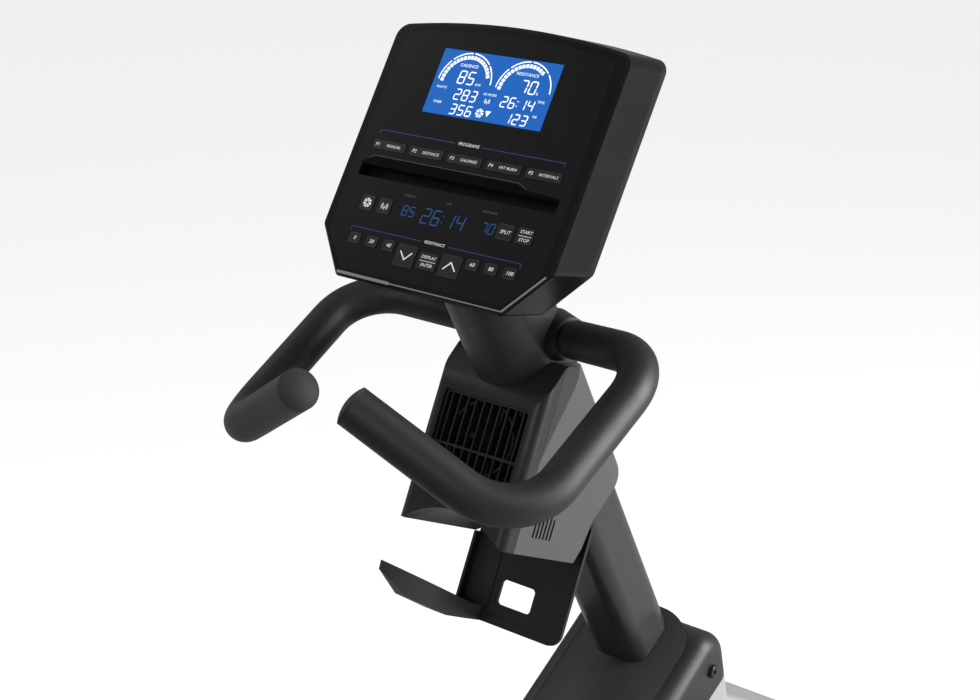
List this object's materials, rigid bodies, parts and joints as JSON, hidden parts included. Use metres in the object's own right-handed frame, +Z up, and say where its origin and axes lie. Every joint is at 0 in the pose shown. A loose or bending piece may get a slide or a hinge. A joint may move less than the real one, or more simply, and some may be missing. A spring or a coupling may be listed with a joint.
{
  "type": "recumbent exercise bike",
  "caption": "Recumbent exercise bike: leaning mast with lit console, curved handlebar, fan pod and bottle holder; pedals drive a belted flywheel; padded seat slides on a rail.",
  "frame": {"origin": "middle of the footprint, on the floor", "axes": "+X to the rider's right, +Y away from the rider towards the console and front stabiliser, +Z up"},
  "size_m": [0.6, 1.548, 1.2517],
  "materials": {
    "bezel_gloss": "glossy black moulding",
    "display_gloss": "smooth dark overlay",
    "screen_glass": "lit blue display",
    "board": "circuit board",
    "key_plastic": "satin key cap",
    "body_black": "fine textured moulding",
    "shroud_black": "fine textured moulding",
    "pod_grey": "grey textured moulding",
    "mast_paint": "satin powder coat",
    "frame_paint": "satin powder coat",
    "grip_foam": "soft black grip",
    "cap_rubber": "moulded rubber",
    "pedal_plastic": "textured nylon",
    "bright_steel": "machined steel",
    "crank_paint": "black forged arm",
    "flywheel_iron": "turned iron",
    "rail_aluminium": "anodised extrusion",
    "cushion_cover": "black vinyl cover over foam"
  },
  "bodies": {
    "frame": {"bearings": "bright_steel", "bottle_holder": "body_black", "circuit_board": "board", "console_back_cover": "body_black", "console_bezel": "bezel_gloss", "display_panel": "display_gloss", "drive_belt": "cap_rubber", "fan_front_cover": "body_black", "fan_grille": "body_black", "fan_side_cover": "pod_grey", "front_stabiliser": "frame_paint", "handlebar_end_caps": "cap_rubber", "handlebar_grips": "grip_foam", "handlebar_tube": "mast_paint", "lcd_screen": "screen_glass", "left_shroud": "shroud_black", "levelling_feet": "cap_rubber", "main_frame": "frame_paint", "mast_tube": "mast_paint", "neck_cover": "body_black", "rear_stabiliser": "frame_paint", "right_shroud": "shroud_black", "screws": "bright_steel", "seat_rail": "rail_aluminium", "top_cover": "body_black"},
    "seat": {"seat_carriage": "frame_paint", "seat_frame": "frame_paint", "seat_cushion": "cushion_cover", "back_cushion": "cushion_cover", "seat_handle_grips": "grip_foam"},
    "seat_lever": {"seat_lever": "frame_paint"},
    "crank": {"crank_axle": "bright_steel", "left_crank_arm": "crank_paint", "right_crank_arm": "crank_paint", "drive_pulley": "pedal_plastic"},
    "left_pedal": {"left_pedal": "pedal_plastic"},
    "right_pedal": {"right_pedal": "pedal_plastic"},
    "flywheel": {"flywheel": "flywheel_iron"},
    "brake": {"brake_magnets": "frame_paint"},
    "fan": {"fan_rotor": "body_black"},
    "left_wheel": {"left_transport_wheel": "cap_rubber"},
    "right_wheel": {"right_transport_wheel": "cap_rubber"},
    "key_display_enter": {"key_display_enter": "key_plastic"},
    "key_fan": {"key_fan": "key_plastic"},
    "key_level_0": {"key_level_0": "key_plastic"},
    "key_level_100": {"key_level_100": "key_plastic"},
    "key_level_20": {"key_level_20": "key_plastic"},
    "key_level_40": {"key_level_40": "key_plastic"},
    "key_level_60": {"key_level_60": "key_plastic"},
    "key_level_80": {"key_level_80": "key_plastic"},
    "key_level_down": {"key_level_down": "key_plastic"},
    "key_level_up": {"key_level_up": "key_plastic"},
    "key_program_1": {"key_program_1": "key_plastic"},
    "key_program_2": {"key_program_2": "key_plastic"},
    "key_program_3": {"key_program_3": "key_plastic"},
    "key_program_4": {"key_program_4": "key_plastic"},
    "key_program_5": {"key_program_5": "key_plastic"},
    "key_split": {"key_split": "key_plastic"},
    "key_start_stop": {"key_start_stop": "key_plastic"},
    "key_wireless": {"key_wireless": "key_plastic"}
  },
  "joints": [
    {"name": "seat_slide", "type": "slide", "parent": "frame", "child": "seat", "axis": [0, -0.9877, 0.1564], "range_m": [-0.22, 0.12]},
    {"name": "seat_lever_pull", "type": "hinge", "parent": "seat", "child": "seat_lever", "pos_m": [0, -0.33, 0.45], "axis": [1, 0, 0], "range_deg": [0, 25], "stiffness_Nm_per_rad": 2, "springref_deg": -14.32},
    {"name": "crank_spin", "type": "hinge", "parent": "frame", "child": "crank", "pos_m": [0, 0.345, 0.33], "axis": [-1, 0, 0], "continuous": true},
    {"name": "right_pedal_spin", "type": "hinge", "parent": "crank", "child": "right_pedal", "pos_m": [0, 0.515, 0.33], "axis": [-1, 0, 0], "continuous": true},
    {"name": "left_pedal_spin", "type": "hinge", "parent": "crank", "child": "left_pedal", "pos_m": [0, 0.175, 0.33], "axis": [-1, 0, 0], "continuous": true},
    {"name": "flywheel_spin", "type": "hinge", "parent": "frame", "child": "flywheel", "pos_m": [0, 0.59, 0.24], "axis": [-1, 0, 0], "continuous": true},
    {"name": "brake_swing", "type": "hinge", "parent": "frame", "child": "brake", "pos_m": [0, 0.716, 0.2175], "axis": [1, 0, 0], "range_deg": [-8, 0]},
    {"name": "fan_spin", "type": "hinge", "parent": "frame", "child": "fan", "pos_m": [0, 0.10468, 0.87987], "axis": [0, -0.887, 0.4617], "continuous": true},
    {"name": "left_wheel_spin", "type": "hinge", "parent": "frame", "child": "left_wheel", "pos_m": [-0.24, 0.748, 0.029], "axis": [1, 0, 0], "continuous": true},
    {"name": "right_wheel_spin", "type": "hinge", "parent": "frame", "child": "right_wheel", "pos_m": [0.24, 0.748, 0.029], "axis": [1, 0, 0], "continuous": true},
    {"name": "key_display_enter_press", "type": "slide", "parent": "frame", "child": "key_display_enter", "axis": [0, 0.8262, -0.5634], "range_m": [0, 0.0008], "stiffness_N_per_m": 800, "springref_m": -0.0004},
    {"name": "key_fan_press", "type": "slide", "parent": "frame", "child": "key_fan", "axis": [0, 0.8262, -0.5634], "range_m": [0, 0.0008], "stiffness_N_per_m": 800, "springref_m": -0.0004},
    {"name": "key_level_0_press", "type": "slide", "parent": "frame", "child": "key_level_0", "axis": [0, 0.8262, -0.5634], "range_m": [0, 0.0008], "stiffness_N_per_m": 800, "springref_m": -0.0004},
    {"name": "key_level_100_press", "type": "slide", "parent": "frame", "child": "key_level_100", "axis": [0, 0.8262, -0.5634], "range_m": [0, 0.0008], "stiffness_N_per_m": 800, "springref_m": -0.0004},
    {"name": "key_level_20_press", "type": "slide", "parent": "frame", "child": "key_level_20", "axis": [0, 0.8262, -0.5634], "range_m": [0, 0.0008], "stiffness_N_per_m": 800, "springref_m": -0.0004},
    {"name": "key_level_40_press", "type": "slide", "parent": "frame", "child": "key_level_40", "axis": [0, 0.8262, -0.5634], "range_m": [0, 0.0008], "stiffness_N_per_m": 800, "springref_m": -0.0004},
    {"name": "key_level_60_press", "type": "slide", "parent": "frame", "child": "key_level_60", "axis": [0, 0.8262, -0.5634], "range_m": [0, 0.0008], "stiffness_N_per_m": 800, "springref_m": -0.0004},
    {"name": "key_level_80_press", "type": "slide", "parent": "frame", "child": "key_level_80", "axis": [0, 0.8262, -0.5634], "range_m": [0, 0.0008], "stiffness_N_per_m": 800, "springref_m": -0.0004},
    {"name": "key_level_down_press", "type": "slide", "parent": "frame", "child": "key_level_down", "axis": [0, 0.8262, -0.5634], "range_m": [0, 0.0008], "stiffness_N_per_m": 800, "springref_m": -0.0004},
    {"name": "key_level_up_press", "type": "slide", "parent": "frame", "child": "key_level_up", "axis": [0, 0.8262, -0.5634], "range_m": [0, 0.0008], "stiffness_N_per_m": 800, "springref_m": -0.0004},
    {"name": "key_program_1_press", "type": "slide", "parent": "frame", "child": "key_program_1", "axis": [0, 0.8262, -0.5634], "range_m": [0, 0.0008], "stiffness_N_per_m": 800, "springref_m": -0.0004},
    {"name": "key_program_2_press", "type": "slide", "parent": "frame", "child": "key_program_2", "axis": [0, 0.8262, -0.5634], "range_m": [0, 0.0008], "stiffness_N_per_m": 800, "springref_m": -0.0004},
    {"name": "key_program_3_press", "type": "slide", "parent": "frame", "child": "key_program_3", "axis": [0, 0.8262, -0.5634], "range_m": [0, 0.0008], "stiffness_N_per_m": 800, "springref_m": -0.0004},
    {"name": "key_program_4_press", "type": "slide", "parent": "frame", "child": "key_program_4", "axis": [0, 0.8262, -0.5634], "range_m": [0, 0.0008], "stiffness_N_per_m": 800, "springref_m": -0.0004},
    {"name": "key_program_5_press", "type": "slide", "parent": "frame", "child": "key_program_5", "axis": [0, 0.8262, -0.5634], "range_m": [0, 0.0008], "stiffness_N_per_m": 800, "springref_m": -0.0004},
    {"name": "key_split_press", "type": "slide", "parent": "frame", "child": "key_split", "axis": [0, 0.8262, -0.5634], "range_m": [0, 0.0008], "stiffness_N_per_m": 800, "springref_m": -0.0004},
    {"name": "key_start_stop_press", "type": "slide", "parent": "frame", "child": "key_start_stop", "axis": [0, 0.8262, -0.5634], "range_m": [0, 0.0008], "stiffness_N_per_m": 800, "springref_m": -0.0004},
    {"name": "key_wireless_press", "type": "slide", "parent": "frame", "child": "key_wireless", "axis": [0, 0.8262, -0.5634], "range_m": [0, 0.0008], "stiffness_N_per_m": 800, "springref_m": -0.0004}
  ],
  "couplings": [
    {"joint": "flywheel_spin", "follows": "crank_spin", "ratio": 6.25}
  ]
}
